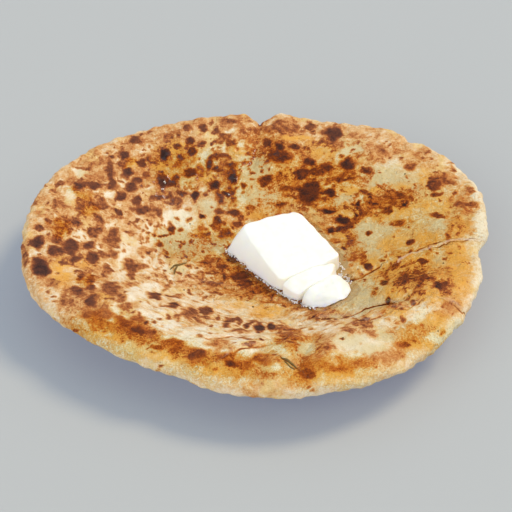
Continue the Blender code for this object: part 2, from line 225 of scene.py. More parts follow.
# Browning marks in the front view: across, down, width, height, and how brown each is at its middle.
# 0.1 is raw dough, 0.35 amber, 0.6 brown, 0.8 dark brown and 1 charred.
MARKS = (
    (137, 141, 12, 6, 0.84), (125, 155, 8, 7, 0.9), (112, 156, 6, 5, 0.68), (101, 162, 5, 4, 0.66),
    (122, 164, 8, 6, 0.72), (127, 172, 12, 8, 0.92), (142, 163, 8, 9, 0.84), (148, 158, 6, 5, 0.76),
    (155, 162, 5, 5, 0.66), (145, 175, 8, 7, 0.62), (138, 181, 9, 7, 0.84), (129, 188, 13, 8, 0.84),
    (120, 196, 9, 7, 0.84), (136, 201, 9, 11, 0.82), (110, 172, 6, 18, 0.78), (112, 185, 7, 10, 0.8),
    (89, 185, 26, 6, 0.84), (76, 181, 10, 5, 0.72), (61, 184, 12, 3, 0.68), (83, 167, 20, 3, 0.66),
    (52, 190, 7, 4, 0.6), (58, 204, 11, 7, 0.66), (80, 206, 12, 7, 0.64), (92, 202, 20, 9, 0.62),
    (102, 205, 14, 8, 0.62), (36, 203, 4, 4, 0.56), (45, 210, 7, 6, 0.5), (118, 211, 9, 6, 0.84),
    (116, 217, 14, 4, 0.58), (99, 219, 10, 7, 0.7), (77, 222, 10, 10, 0.72), (59, 220, 5, 4, 0.66),
    (65, 226, 17, 11, 0.5), (39, 228, 10, 6, 0.78), (95, 232, 12, 8, 0.72), (113, 237, 10, 16, 0.68),
    (58, 239, 12, 8, 0.72), (37, 242, 13, 9, 0.95), (56, 251, 15, 9, 0.86), (64, 253, 18, 6, 0.72),
    (71, 246, 13, 11, 0.86), (89, 245, 10, 8, 0.8), (157, 198, 12, 8, 0.76), (164, 154, 8, 13, 1.08),
    (162, 178, 11, 9, 0.82), (171, 183, 14, 8, 0.86), (163, 184, 9, 8, 0.98), (176, 176, 8, 7, 0.76),
    (178, 163, 9, 8, 0.6), (192, 152, 8, 7, 0.84), (191, 141, 8, 8, 0.88), (178, 146, 8, 6, 0.8),
    (179, 135, 6, 5, 0.68), (168, 137, 10, 5, 0.62), (187, 127, 8, 7, 0.72), (203, 128, 8, 7, 0.76),
    (202, 143, 7, 6, 0.7), (180, 157, 8, 5, 0.72), (190, 173, 11, 7, 0.84), (181, 193, 14, 5, 0.78),
    (169, 196, 8, 5, 0.76), (176, 201, 11, 8, 0.7), (196, 195, 6, 8, 1.0), (200, 172, 9, 12, 0.54),
    (170, 228, 6, 5, 1.0), (158, 212, 8, 9, 0.68), (146, 210, 24, 6, 0.74), (176, 208, 8, 5, 0.58),
    (188, 210, 7, 5, 0.46), (156, 235, 4, 3, 0.82), (164, 235, 6, 3, 0.84), (159, 244, 8, 5, 0.74),
    (131, 234, 5, 5, 0.52), (146, 251, 14, 8, 0.42), (40.5, 268, 16, 18, 0.99), (64, 264, 6, 4, 0.56),
    (76, 259, 12, 6, 0.82), (92, 258, 12, 11, 0.82), (101, 255, 7, 7, 0.64), (111, 254, 12, 8, 0.58),
    (81, 275, 6, 6, 0.7), (91, 270, 6, 4, 0.68), (91, 279, 8, 7, 0.7), (91, 289, 8, 6, 0.82),
    (51, 284, 13, 9, 0.56), (61, 282, 8, 4, 0.5), (76, 292, 15, 10, 0.72), (66, 301, 14, 8, 0.56),
    (90, 301, 10, 10, 0.86), (110, 287, 15, 11, 0.66), (106, 271, 8, 13, 0.6), (131, 265, 13, 11, 0.74),
    (132, 275, 8, 9, 0.6), (143, 267, 10, 5, 0.6), (130, 285, 14, 4, 0.5), (120, 298, 9, 8, 0.62),
    (125, 306, 11, 8, 0.5), (104, 312, 12, 11, 0.56), (88, 314, 13, 8, 0.62), (137, 318, 13, 6, 0.58),
    (120, 319, 7, 6, 0.56), (127, 324, 12, 7, 0.7), (138, 331, 12, 7, 0.8), (152, 332, 10, 5, 0.6),
    (146, 324, 5, 5, 0.92), (156, 295, 11, 6, 0.88), (168, 286, 7, 5, 0.66), (166, 291, 5, 3, 0.6),
    (190, 291, 4, 7, 0.76), (173, 297, 13, 4, 0.62), (173, 305, 9, 5, 0.78), (190, 313, 14, 11, 0.62),
    (178, 315, 10, 4, 0.54), (191, 322, 10, 3, 0.44), (206, 311, 12, 7, 0.8), (218, 317, 5, 5, 0.68),
    (230, 320, 13, 4, 0.72), (239, 321, 5, 5, 0.76), (227, 325, 7, 4, 0.72), (254, 321, 8, 3, 0.76),
    (248, 325, 6, 4, 0.74), (259, 327, 8, 7, 1.02), (271, 327, 8, 6, 0.95), (279, 329, 5, 3, 0.72),
    (241, 331, 17, 4, 0.58), (217, 343, 18, 7, 0.5), (249, 344, 10, 4, 0.68), (174, 342, 13, 5, 0.64),
    (200, 335, 5, 4, 0.6), (197, 355, 16, 7, 0.78), (222, 357, 13, 6, 0.62), (196, 360, 12, 5, 0.54),
    (158, 349, 10, 5, 0.58), (175, 350, 8, 4, 0.6), (231, 364, 10, 7, 0.9), (245, 366, 12, 8, 0.54),
    (262, 359, 19, 11, 0.5), (268, 375, 15, 6, 0.48), (290, 333, 15, 10, 0.5), (215, 370, 6, 4, 0.54),
    (307, 375, 14, 9, 0.64), (260, 385, 5, 3, 0.5), (216, 131, 7, 8, 0.62), (228, 121, 16, 6, 0.6),
    (210, 122, 5, 5, 0.64), (220, 141, 10, 5, 0.66), (226, 137, 12, 6, 0.68), (232, 143, 8, 9, 0.72),
    (210, 165, 5, 8, 0.86), (213, 159, 7, 5, 0.8), (220, 155, 9, 4, 0.8), (227, 156, 5, 6, 0.72),
    (216, 170, 11, 4, 0.82), (232, 166, 12, 8, 0.78), (229, 173, 14, 7, 0.7), (232, 179, 9, 9, 1.0),
    (214, 184, 10, 9, 0.98), (218, 197, 7, 14, 0.7), (226, 194, 7, 5, 0.9), (232, 190, 6, 8, 0.7),
    (234, 198, 6, 6, 0.64), (234, 204, 8, 6, 0.48), (220, 211, 8, 6, 0.7), (234, 213, 14, 6, 0.84),
    (241, 217, 6, 5, 0.72), (218, 221, 8, 7, 0.8), (225, 224, 5, 5, 0.7), (250, 208, 8, 7, 0.68),
    (202, 217, 5, 5, 0.94), (202, 228, 9, 7, 0.64), (217, 228, 7, 6, 0.6), (226, 234, 12, 8, 0.68),
    (238, 223, 7, 6, 0.74), (201, 236, 14, 5, 0.6), (180, 229, 6, 4, 0.5), (255, 130, 9, 7, 0.54),
    (268, 132, 9, 7, 0.64), (276, 127, 18, 9, 0.6), (292, 128, 16, 8, 0.6), (268, 143, 7, 6, 0.86),
    (281, 148, 9, 7, 0.86), (295, 147, 13, 5, 0.82), (279, 157, 24, 11, 0.8), (255, 152, 16, 7, 0.46),
    (250, 141, 10, 5, 0.56), (266, 180, 13, 9, 0.76), (275, 176, 12, 4, 0.56), (287, 188, 16, 7, 0.62),
    (286, 172, 10, 6, 0.46), (310, 150, 8, 7, 0.42), (309, 162, 11, 9, 0.9), (302, 174, 16, 8, 0.84),
    (316, 173, 12, 7, 0.8), (326, 167, 14, 9, 0.84), (309, 193, 22, 19, 0.9), (315, 187, 10, 9, 0.84),
    (281, 205, 10, 5, 0.8), (310, 127, 11, 6, 0.76), (333, 133, 17, 11, 0.9), (244, 186, 5, 4, 0.8),
    (327, 141, 17, 5, 0.6), (355, 134, 10, 7, 0.48), (378, 136, 5, 5, 0.54), (377, 130, 8, 3, 0.5),
    (347, 165, 12, 10, 0.98), (382, 150, 10, 6, 0.54), (366, 171, 11, 7, 0.76), (342, 178, 12, 5, 0.74),
    (329, 180, 4, 4, 0.72), (333, 186, 5, 4, 0.7), (331, 194, 10, 8, 0.94), (363, 192, 9, 6, 0.72),
    (354, 197, 4, 3, 0.7), (358, 203, 5, 5, 1.0), (361, 210, 5, 8, 0.8), (366, 213, 12, 7, 0.62),
    (328, 211, 14, 6, 1.0), (345, 208, 4, 3, 0.76), (331, 206, 4, 3, 0.7), (344, 220, 12, 9, 1.05),
    (357, 220, 14, 7, 0.62), (348, 227, 10, 6, 0.74), (343, 230, 12, 5, 0.72), (331, 230, 8, 5, 0.96),
    (378, 203, 18, 12, 0.56), (392, 197, 22, 9, 0.6), (405, 196, 18, 11, 0.56), (396, 205, 20, 7, 0.58),
    (397, 194, 8, 6, 0.7), (388, 210, 9, 7, 0.74), (410, 167, 9, 9, 0.72), (424, 152, 9, 8, 0.42),
    (433, 184, 12, 12, 0.78), (447, 180, 16, 6, 0.58), (437, 195, 10, 6, 0.72), (452, 170, 5, 3, 0.68),
    (454, 194, 4, 4, 0.56), (469, 189, 8, 6, 0.52), (465, 204, 18, 6, 0.68), (438, 216, 13, 5, 0.76),
    (397, 223, 15, 5, 0.58), (370, 234, 5, 5, 0.86), (448, 236, 6, 5, 0.76), (458, 234, 5, 5, 0.62),
    (345, 248, 5, 4, 0.86), (335, 241, 4, 4, 0.6), (354, 257, 11, 10, 0.5), (350, 239, 7, 14, 0.56),
    (363, 257, 7, 12, 0.58), (368, 266, 7, 5, 0.9), (382, 260, 4, 4, 0.6), (382, 274, 9, 6, 0.56),
    (384, 282, 8, 5, 0.84), (376, 294, 5, 4, 0.52), (388, 300, 5, 5, 1.0), (392, 305, 10, 3, 0.62),
    (396, 265, 7, 8, 0.62), (409, 241, 7, 6, 0.74), (405, 279, 13, 8, 0.78), (413, 281, 8, 6, 0.5),
    (417, 272, 6, 6, 0.68), (423, 262, 7, 8, 0.84), (425, 277, 10, 5, 0.78), (441, 285, 13, 8, 0.82),
    (444, 294, 6, 8, 0.46), (422, 293, 5, 4, 0.5), (423, 299, 6, 4, 0.5), (450, 271, 5, 5, 0.48),
    (451, 304, 6, 3, 0.66), (363, 319, 14, 4, 0.68), (367, 325, 13, 3, 0.56), (352, 331, 12, 5, 0.56),
    (401, 318, 5, 6, 0.6), (421, 325, 4, 3, 0.6), (404, 344, 13, 8, 0.66), (343, 339, 4, 3, 0.6),
    (335, 311, 8, 3, 0.58), (337, 370, 8, 5, 0.52), (234, 258, 11, 7, 0.84), (240, 276, 20, 9, 0.84),
    (246, 284, 14, 7, 0.78), (208, 262, 20, 5, 0.62), (214, 284, 12, 5, 0.74), (215, 292, 10, 4, 0.56),
    (261, 339, 5, 2, 0.78), (301, 303, 5, 3, 0.9), (222, 268, 12, 6, 0.7), (256, 291, 14, 6, 0.62),
    (25, 256, 6, 20, 0.6), (24, 290, 4, 14, 0.46), (350, 331, 16, 5, 0.56), (362, 324, 18, 4, 0.62),
)
DOMED_LEVEL = 0.77  # marks from here up stand up as blisters

# Broad toasting in the front view: from, to, half width, and how much browner it is
WASHES = (
    (45, 205, 95, 158, 16, 0.33), (95, 158, 165, 136, 13, 0.33), (150, 142, 200, 130, 9, 0.28),
    (200, 125, 245, 130, 8, 0.34), (245, 138, 262, 150, 11, 0.34), (262, 126, 300, 130, 9, 0.4),
    (268, 142, 325, 148, 9, 0.32), (335, 152, 368, 144, 6, 0.28), (350, 135, 400, 140, 5, 0.24),
    (395, 150, 440, 165, 8, 0.27), (440, 168, 476, 208, 9, 0.27), (105, 182, 150, 165, 13, 0.35),
    (162, 160, 202, 150, 11, 0.28), (150, 180, 202, 192, 13, 0.28), (222, 164, 238, 176, 9, 0.36),
    (205, 206, 240, 218, 10, 0.24), (268, 150, 300, 156, 14, 0.42), (295, 175, 335, 170, 9, 0.42),
    (300, 190, 322, 198, 15, 0.45), (352, 206, 374, 212, 9, 0.36), (368, 202, 418, 194, 12, 0.4),
    (428, 180, 452, 180, 7, 0.4), (455, 206, 472, 212, 8, 0.4), (454, 224, 468, 230, 9, 0.46),
    (456, 246, 462, 292, 10, 0.26), (392, 264, 448, 284, 15, 0.5), (392, 250, 428, 262, 8, 0.3),
    (345, 225, 352, 250, 9, 0.3), (56, 220, 72, 238, 11, 0.46), (84, 262, 92, 284, 8, 0.44),
    (60, 235, 112, 250, 16, 0.26), (85, 203, 122, 215, 12, 0.28), (30, 225, 36, 290, 9, 0.2),
    (66, 300, 110, 312, 13, 0.42), (58, 284, 80, 298, 12, 0.24), (95, 320, 150, 337, 9, 0.5),
    (150, 341, 190, 355, 7, 0.48), (190, 356, 218, 362, 7, 0.44), (215, 355, 262, 370, 9, 0.46),
    (252, 362, 276, 361, 8, 0.46), (262, 376, 300, 380, 9, 0.26), (303, 368, 326, 345, 12, 0.5),
    (315, 366, 348, 370, 8, 0.48), (345, 364, 402, 354, 6, 0.44), (398, 341, 425, 334, 6, 0.44),
    (424, 329, 443, 312, 6, 0.44), (445, 313, 458, 300, 8, 0.34), (100, 285, 126, 305, 12, 0.34),
    (138, 325, 160, 337, 7, 0.44), (205, 260, 245, 268, 10, 0.46), (232, 268, 292, 298, 11, 0.52),
    (180, 282, 240, 290, 5, 0.3), (285, 302, 345, 317, 6, 0.4), (282, 328, 290, 346, 9, 0.5),
    (105, 347, 200, 378, 9, 0.03), (200, 382, 300, 393, 10, 0.04), (300, 393, 385, 376, 10, 0.04),
    (385, 376, 455, 335, 9, 0.03), (255, 215, 265, 216, 8, 0.24), (165, 256, 200, 250, 8, 0.2),
    (405, 225, 430, 240, 12, 0.2), (120, 196, 160, 212, 12, 0.26), (60, 318, 105, 345, 8, 0.12),
    (330, 200, 350, 215, 16, 0.1), (380, 312, 420, 300, 6, 0.24), (240, 196, 262, 212, 12, 0.16),
    (38, 205, 62, 178, 8, 0.27), (62, 178, 110, 147, 7, 0.27), (110, 147, 165, 126, 7, 0.28),
    (62, 218, 76, 232, 11, 0.42), (58, 300, 72, 296, 8, 0.44), (84, 266, 92, 270, 7, 0.4),
    (84, 200, 100, 208, 12, 0.42), (96, 168, 104, 172, 8, 0.38), (148, 276, 162, 282, 7, 0.36),
    (240, 298, 262, 302, 5, 0.36), (284, 340, 296, 346, 8, 0.5), (408, 322, 424, 330, 6, 0.4),
    (284, 203, 300, 210, 7, 0.42), (262, 200, 284, 206, 8, 0.3), (300, 212, 332, 230, 7, 0.27),
    (215, 300, 262, 308, 5, 0.34), (250, 370, 290, 382, 8, 0.26), (60, 316, 84, 334, 6, 0.3),
    (356, 136, 372, 146, 6, 0.36), (368, 146, 376, 157, 6, 0.42), (378, 148, 402, 150, 5, 0.36),
    (308, 142, 340, 143, 7, 0.44), (242, 124, 258, 138, 8, 0.42), (276, 178, 290, 182, 6, 0.5),
    (296, 334, 312, 338, 5, 0.46), (200, 318, 214, 319, 4, 0.44), (284, 147, 296, 150, 5, 0.62),
    (142, 152, 156, 154, 6, 0.44), (146, 186, 160, 187, 6, 0.42), (82, 208, 100, 212, 7, 0.5),
    (180, 325, 196, 327, 5, 0.26), (144, 280, 158, 282, 6, 0.36), (80, 213, 104, 217, 7, 0.52),
    (216, 275, 226, 278, 6, 0.52), (238, 288, 252, 294, 6, 0.56), (226, 371, 240, 374, 6, 0.4),
    (390, 327, 406, 330, 5, 0.36), (128, 226, 142, 230, 6, 0.34), (154, 202, 166, 206, 6, 0.44),
    (192, 240, 206, 244, 6, 0.38), (150, 219, 164, 222, 6, 0.34), (76, 262, 90, 268, 6, 0.46),
    (148, 260, 160, 264, 6, 0.32), (246, 216, 258, 220, 6, 0.36), (280, 210, 292, 212, 6, 0.4),
    (302, 217, 314, 220, 6, 0.34), (350, 334, 362, 336, 4, 0.42), (396, 284, 416, 288, 7, 0.54),
    (290, 310, 330, 316, 6, 0.42), (348, 330, 372, 332, 5, 0.4), (245, 389, 275, 391, 6, 0.26),
    (264, 190, 292, 192, 6, 0.42), (124, 160, 138, 164, 6, 0.48), (118, 336, 148, 343, 6, 0.5),
    (140, 281, 160, 284, 6, 0.3), (86, 171, 106, 173, 7, 0.48), (312, 146, 332, 148, 6, 0.48),
    (50, 258, 70, 260, 6, 0.42), (78, 192, 100, 194, 7, 0.44), (92, 298, 112, 301, 8, 0.48),
    (356, 158, 372, 158, 6, 0.4), (352, 177, 368, 178, 6, 0.4), (220, 178, 228, 183, 6, 0.52),
    (196, 184, 206, 186, 6, 0.38), (100, 226, 114, 226, 6, 0.36), (165, 126, 248, 117, 7, 0.28),
    (262, 122, 330, 122, 7, 0.26), (330, 122, 402, 136, 6, 0.18), (402, 140, 450, 162, 6, 0.16),
    (26, 215, 22, 275, 8, 0.16), (22, 275, 50, 310, 8, 0.14),
)
# Where the dough is thin and looks greyish yellow: across, down, width and height
WINDOWS = (
    (352, 149, 30, 14), (387, 180, 44, 22), (416, 186, 18, 18), (366, 234, 26, 24), (440, 226, 20, 12),
    (256, 166, 26, 34), (262, 197, 34, 16), (346, 200, 20, 14), (364, 296, 36, 30), (176, 238, 30, 20),
    (302, 351, 12, 18), (196, 246, 40, 16), (386, 226, 22, 10), (440, 262, 12, 16), (330, 150, 12, 8),
    (85, 172, 18, 8), (206, 208, 20, 16), (345, 262, 14, 20), (372, 253, 20, 10), (176, 272, 16, 8),
    (384, 336, 22, 12), (350, 341, 30, 14), (372, 350, 30, 10),
)
# Where the dough has stayed pale: across, down, width and height. The patches along the right rim are
# pale dough and partly painted light, where the rim catches the light
CREAMS = (
    (358, 346, 36, 15), (416, 314, 24, 16), (178, 217, 24, 20), (80, 236, 15, 11), (124, 256, 12, 30),
    (150, 290, 30, 12), (165, 322, 36, 14), (230, 305, 70, 10), (488, 240, 20, 60), (152, 232, 20, 14),
    (480, 300, 12, 50), (122, 181, 12, 8), (107, 195, 14, 7), (78, 171, 14, 7), (68, 194, 10, 14),
    (116, 309, 11, 14), (126, 317, 14, 5), (246, 352, 22, 10), (216, 163, 5, 4), (200, 342, 26, 8),
    (272, 367, 16, 8), (130, 297, 14, 8), (354, 357, 18, 6), (327, 188, 6, 8), (206, 348, 18, 7),
    (118, 246, 8, 8), (108, 268, 8, 8), (224, 352, 8, 6), (350, 150, 14, 7), (270, 356, 12, 6),
    (97, 285, 8, 8), (188, 187, 12, 6), (99, 247, 8, 6), (426, 184, 6, 8), (55, 297, 10, 10),
    (340, 157, 6, 8), (170, 337, 14, 5), (132, 279, 8, 6), (444, 333, 20, 10), (201, 164, 7, 12),
    (308, 347, 12, 12), (293, 160, 8, 8), (437, 337, 26, 9), (394, 260, 6, 8), (108, 265, 8, 8),
    (34, 254, 9, 6), (215, 150, 22, 8), (245, 340, 20, 6), (278, 352, 22, 10), (135, 165, 5, 4),
    (143, 150, 5, 4), (112, 192, 8, 5), (150, 188, 8, 5), (96, 190, 6, 4), (206, 154, 14, 8),
    (242, 146, 14, 7), (211, 177, 14, 8), (204, 190, 10, 4), (241, 197, 10, 24), (191, 186, 9, 6),
    (211, 204, 14, 8), (172, 220, 28, 22), (150, 148, 8, 6), (226, 148, 10, 5), (196, 168, 8, 5),
    (186, 222, 14, 10), (246, 166, 16, 18), (481, 222, 10, 40), (484, 250, 12, 40), (481, 285, 12, 40),
    (474, 192, 8, 24), (458, 168, 16, 8), (187, 182, 14, 8), (230, 196, 8, 8), (344, 158, 14, 10),
    (324, 186, 6, 6), (347, 215, 10, 8), (382, 262, 12, 10), (112, 318, 12, 6), (180, 336, 20, 6),
    (262, 364, 12, 5), (455, 330, 30, 22), (150, 262, 24, 16), (196, 332, 26, 8), (110, 226, 8, 8),
    (230, 132, 14, 5),
)
# Where butter has soaked in: across, down, width and height
SOAKED = (
    (285, 262, 140, 90), (400, 235, 140, 120), (185, 166, 70, 44), (262, 180, 100, 80),
    (215, 244, 80, 50), (330, 185, 90, 70), (365, 292, 80, 44), (180, 240, 50, 30), (62, 228, 18, 20),
    (132, 164, 16, 10), (80, 196, 18, 12), (88, 280, 14, 18), (90, 210, 18, 10), (105, 330, 80, 34),
    (150, 346, 100, 28), (230, 368, 120, 30), (320, 370, 130, 30), (425, 334, 70, 40),
    (290, 346, 60, 30),
)
# Where it has turned golden yellow: across, down, width and height
GILDED = (
    (460, 268, 24, 54), (460, 226, 22, 14), (120, 336, 60, 10), (180, 356, 70, 9), (330, 376, 60, 10),
    (222, 370, 40, 10), (84, 205, 14, 20), (62, 272, 22, 26), (134, 165, 12, 8), (322, 152, 26, 9),
    (235, 306, 50, 10), (270, 312, 34, 9), (176, 146, 30, 12), (232, 172, 10, 10), (412, 272, 64, 34),
    (396, 292, 40, 14), (432, 296, 30, 16), (372, 262, 18, 16), (319, 143, 24, 8), (296, 138, 26, 5),
    (352, 190, 20, 8), (254, 216, 16, 6), (420, 345, 30, 8), (440, 325, 16, 16), (86, 262, 20, 10),
    (104, 298, 14, 10), (288, 176, 14, 10), (345, 234, 14, 12), (362, 218, 16, 12), (172, 150, 26, 12),
    (160, 165, 16, 10), (236, 152, 16, 10), (208, 178, 14, 10), (400, 212, 30, 16), (398, 240, 22, 10),
    (425, 238, 24, 12), (420, 205, 20, 12), (440, 205, 22, 14), (350, 212, 20, 14), (376, 216, 14, 8),
    (384, 246, 12, 14), (350, 272, 14, 8), (402, 312, 26, 8), (436, 318, 20, 14), (425, 178, 12, 18),
    (404, 186, 22, 6), (372, 190, 16, 6),
)
# Where oil glistens: across, down, width and height
GLOSSY = (
    (178, 172, 56, 60), (222, 178, 40, 60), (348, 250, 16, 30), (383, 163, 10, 8), (262, 160, 30, 20),
    (176, 250, 40, 20), (220, 240, 40, 16),
)
# Where the crust is smooth and even: across, down, width and height
SMOOTH = (
    (461, 268, 26, 52), (461, 226, 18, 14), (225, 163, 6, 6), (256, 216, 12, 6), (98, 318, 44, 26),
    (125, 329, 60, 26), (158, 342, 60, 22), (198, 355, 70, 20), (240, 367, 60, 22), (310, 368, 60, 30),
    (350, 369, 70, 20), (395, 353, 60, 20), (428, 331, 40, 28), (447, 312, 24, 24), (270, 385, 80, 16),
)
# Where wrinkles run round the bread: across, down, width and height
WRINKLED = (
    (215, 310, 170, 60), (150, 275, 60, 40), (330, 312, 90, 34), (400, 290, 90, 50),
    (360, 200, 120, 50), (240, 270, 90, 30),
)
# Patches of small spots: across, down, half width, half height, and how many
SPECKLES = (
    (100, 200, 70, 55, 170), (180, 165, 80, 38, 220), (75, 260, 50, 45, 90), (290, 150, 70, 32, 110),
    (235, 190, 50, 40, 90), (400, 170, 75, 40, 60), (410, 270, 60, 40, 90), (345, 205, 40, 40, 60),
    (150, 228, 24, 14, 60), (120, 315, 60, 25, 60), (185, 245, 50, 26, 40), (256, 258, 225, 138, 120),
    (200, 262, 62, 24, 130), (222, 285, 46, 14, 60),
)
# Creases in the front view: their points, how wide and deep they are, how dark, partly from browning and
# partly from painted shade in the crease, and how strong the painted highlight on the lip above them is,
# which also raises that lip
CREASES = (
    (((344, 281), (353, 280), (363, 276), (372, 270), (379, 266)), 1.5, 0.8, 0.72, 0.1),
    (((408, 252), (416, 250), (422, 247), (429, 244), (438, 242)), 1.1, 0.9, 0.62, 0.0),
    (((440, 246), (448, 243)), 1.0, 0.6, 0.56, 0.0),
    (((459, 242), (468, 240)), 1.0, 0.5, 0.52, 0.0),
    (((400, 261), (413, 255), (425, 251), (438, 247), (447, 243), (463, 241), (480, 242)),
     1.1, 0.3, 0.1, 0.8),
    (((322, 318), (338, 317), (352, 315), (366, 308), (378, 305), (392, 303)), 1.4, 0.7, 0.7, 0.3),
    (((392, 308), (408, 309), (420, 302)), 1.2, 0.4, 0.5, 0.2),
    (((352, 318), (366, 322), (380, 316)), 1.3, 0.4, 0.6, 0.3),
    (((447, 301), (456, 306), (463, 313)), 1.6, 0.5, 0.46, 0.4),
    (((281, 358), (290, 362), (297, 368)), 1.4, 0.5, 0.66, 0.2),
    (((230, 354), (240, 349), (252, 347), (265, 345)), 1.6, 0.5, 0.52, 0.3),
    (((206, 338), (236, 337), (262, 340)), 1.3, 0.4, 0.5, 0.4),
    (((178, 281), (198, 283), (216, 285), (236, 291)), 1.6, 0.4, 0.46, 0.1),
    (((262, 301), (282, 303), (300, 307), (322, 312)), 1.8, 0.3, 0.42, 0.1),
)

# Tones of dry dough and of buttery dough as they brown, from raw to charred
DRY_TONES = (
    (0.0, (250, 234, 206)), (0.12, (240, 211, 169)), (0.25, (229, 181, 122)), (0.36, (213, 150, 89)),
    (0.48, (191, 119, 66)), (0.6, (157, 91, 54)), (0.74, (125, 71, 47)), (0.86, (100, 60, 46)),
    (1.0, (68, 46, 41)),
)
OILY_TONES = (
    (0.0, (242, 226, 178)), (0.12, (231, 192, 120)), (0.25, (224, 160, 72)), (0.36, (215, 135, 44)),
    (0.48, (198, 106, 32)), (0.6, (164, 78, 22)), (0.74, (124, 56, 22)), (0.86, (96, 48, 28)),
    (1.0, (58, 37, 32)),
)
WARM_TONE = (238, 202, 124)
WINDOW_TONE = (221, 198, 143)
GILDED_TONE = (240, 174, 74)
# The tone of the painted highlight on the lips above creases
LIP_HIGHLIGHT_TONE = (240, 210, 178)

# The soft light: each sun's direction, its angle in degrees, its strength and its tone
SUNS = {
    "side": ((1.0, -0.1, 0.35), 50, 0.5, (255, 250, 240)),
    "key": ((0.7, 0.4, 0.95), 20, 1.75, (255, 247, 232)),
    "fill": ((-0.6, -1.0, 0.42), 60, 2.0, (226, 237, 255)),
}
SKY_TONE = (230, 240, 255)
SKY_STRENGTH = 0.62
FLOOR_REACH = 3.0  # in metres, from its middle to its sides
FLOOR_TONE = (171, 165, 144)
FLOOR_GLOW_TONE = (157, 194, 255)
FLOOR_GLOW = 0.197


def ease(x):
    """From 0 to 1 with level ends."""
    x = np.clip(x, 0.0, 1.0)
    return x * x * (3 - 2 * x)


def fade_in(x, start, end):
    """0 up to start, 1 from end on, and a smooth rise between."""
    return ease((x - start) / (end - start))


def fade_out(x, start, end):
    """1 up to start, 0 from end on, and a smooth fall between."""
    return ease((end - x) / (end - start))


# The bread's form, as in the part's source


def turn_between(turn, at_degrees):
    """The signed angle in degrees from a place on the rim to turn, which is in radians."""
    return (np.degrees(turn) - at_degrees + 180) % 360 - 180


def closed_curve(values, share):
    """Places on a smooth closed curve through evenly spaced values; share goes round it from 0 to 1."""
    values = np.array(values, float)
    count = len(values)
    place = share * count % count
    first = np.floor(place).astype(int) % count
    part = place - np.floor(place)
    if values.ndim == 2:
        part = part[:, None]
    before, here, there, after = (values[(first + k) % count] for k in (-1, 0, 1, 2))
    return here + 0.5 * part * (
        there - before
        + part * (2 * before - 5 * here + 4 * there - after + part * (3 * (here - there) + after - before))
    )


def rim_reach(turn, out):
    """From the middle to the rim, with its dents and pleat, which fade inwards."""
    reach = closed_curve(RIM_REACH, turn / math.tau)
    off = turn_between(turn, RIM_PLEAT_TURN)
    detail = RIM_PLEAT_STEP * np.tanh(off / RIM_PLEAT_WIDTH) * np.exp(-((off / RIM_PLEAT_FADE) ** 2))
    for at, width, depth in RIM_DENTS:
        detail = detail + depth * np.exp(-((turn_between(turn, at) / width) ** 2))
    return reach + detail * out**RIM_DETAIL_FADE


def from_line(x, y, start, end):
    """How far along a line places lie, how far past its ends, and how far to its left."""
    along = np.subtract(end, start)
    length = np.hypot(*along)
    along = along / length
    part = (x - start[0]) * along[0] + (y - start[1]) * along[1]
    past = np.maximum(np.maximum(-part, part - length), 0.0)
    return part / length, past, along[0] * (y - start[1]) - along[1] * (x - start[0])


def fold_height(x, y):
    """The height that folds and pleats add."""
    total = np.zeros_like(x)
    for start, end, height, width in FOLDS:
        _, past, left = from_line(x, y, start, end)
        total += height * np.exp(-(left**2 + past**2) / width**2)
    for start, end, step, width, fade in PLEATS:
        part, past, left = from_line(x, y, start, end)
        total += step * ease(2 * part) * np.tanh(left / width) * np.exp(-(left**2 + past**2) / fade**2)
    return total


def sheet_place(out, turn):
    """Points of the sheet's middle surface."""
    reach = rim_reach(turn, out) * out
    slide = (1 - out) ** 2
    x = reach * np.cos(turn) + LOW_POINT[0] * slide
    y = reach * np.sin(turn) + LOW_POINT[1] * slide
    near = ease(-np.sin(turn) * NEAR_SPREAD)
    crest_share = FAR_CREST_SHARE + (NEAR_CREST_SHARE - FAR_CREST_SHARE) * near
    climb = fade_in(out, FLOOR_SHARE, crest_share)
    past_crest = np.maximum(out - crest_share, 0.0) / (1 - crest_share)
    wave = RIM_WAVE * np.sin(RIM_WAVE_COUNT * turn + 2 * np.sin(turn)) * out**3
    z = THICKNESS / 2 + (CREST_RISE + wave) * climb - NEAR_LIP_DROP * near * past_crest**2
    return np.column_stack((x, y, z + fold_height(x, y) * fade_in(out, 0.1, 0.3)))


def unit(vectors):
    """Vectors at a length of 1."""
    return vectors / np.maximum(np.linalg.norm(vectors, axis=1, keepdims=True), 1e-9)


def bumps(places, spread, start=0.0):
    """Smooth noise from about -1 to 1 at places in millimetres, its bumps about as wide as spread."""
    return np.array([noise.noise(Vector(place)) for place in places / spread + start])


def bread_skin(turn, fall):
    """The bread's skin: its points, which way it faces, how far that is up, and the share of the reach."""
    half = THICKNESS / 2
    edge_out = 1 - half / rim_reach(turn, 1.0)
    top, under = fall < TOP_SHARE, fall >= TOP_SHARE + EDGE_SHARE
    bend = np.pi * (fall - TOP_SHARE) / EDGE_SHARE
    out = np.where(top, edge_out * fall / TOP_SHARE, edge_out)
    out = np.where(under, edge_out * (1 - fall) / (1 - TOP_SHARE - EDGE_SHARE), out)
    rise = np.where(top, 1.0, np.where(under, -1.0, np.cos(bend)))
    past = np.where(top | under, 0.0, np.sin(bend))
    step = 0.004  # of the reach and in radians, over which the sheet's slopes are taken
    middle = sheet_place(out, turn)
    further, nearer = (sheet_place(np.clip(out + by, 0.0, 1.0), turn) for by in (step, -step))
    outward = unit(further - nearer)
    across = unit(sheet_place(out, turn + step) - sheet_place(out, turn - step))
    up = unit(np.cross(outward, across))
    pole = out < 1e-6
    outward[pole], up[pole] = (1, 0, 0), (0, 0, 1)
    facing = outward * past[:, None] + up * rise[:, None]
    points = middle + half * facing
    plan = points * (1, 1, 0)
    lumps = bumps(plan, LUMP_SPREAD) + 0.5 * bumps(plan, LUMP_SPREAD / 2.3, np.array((7, 3, 1)))
    points += up * (LUMP_HEIGHT * lumps * np.maximum(rise, 0))[:, None]
    return points, facing, rise, out


# The front view


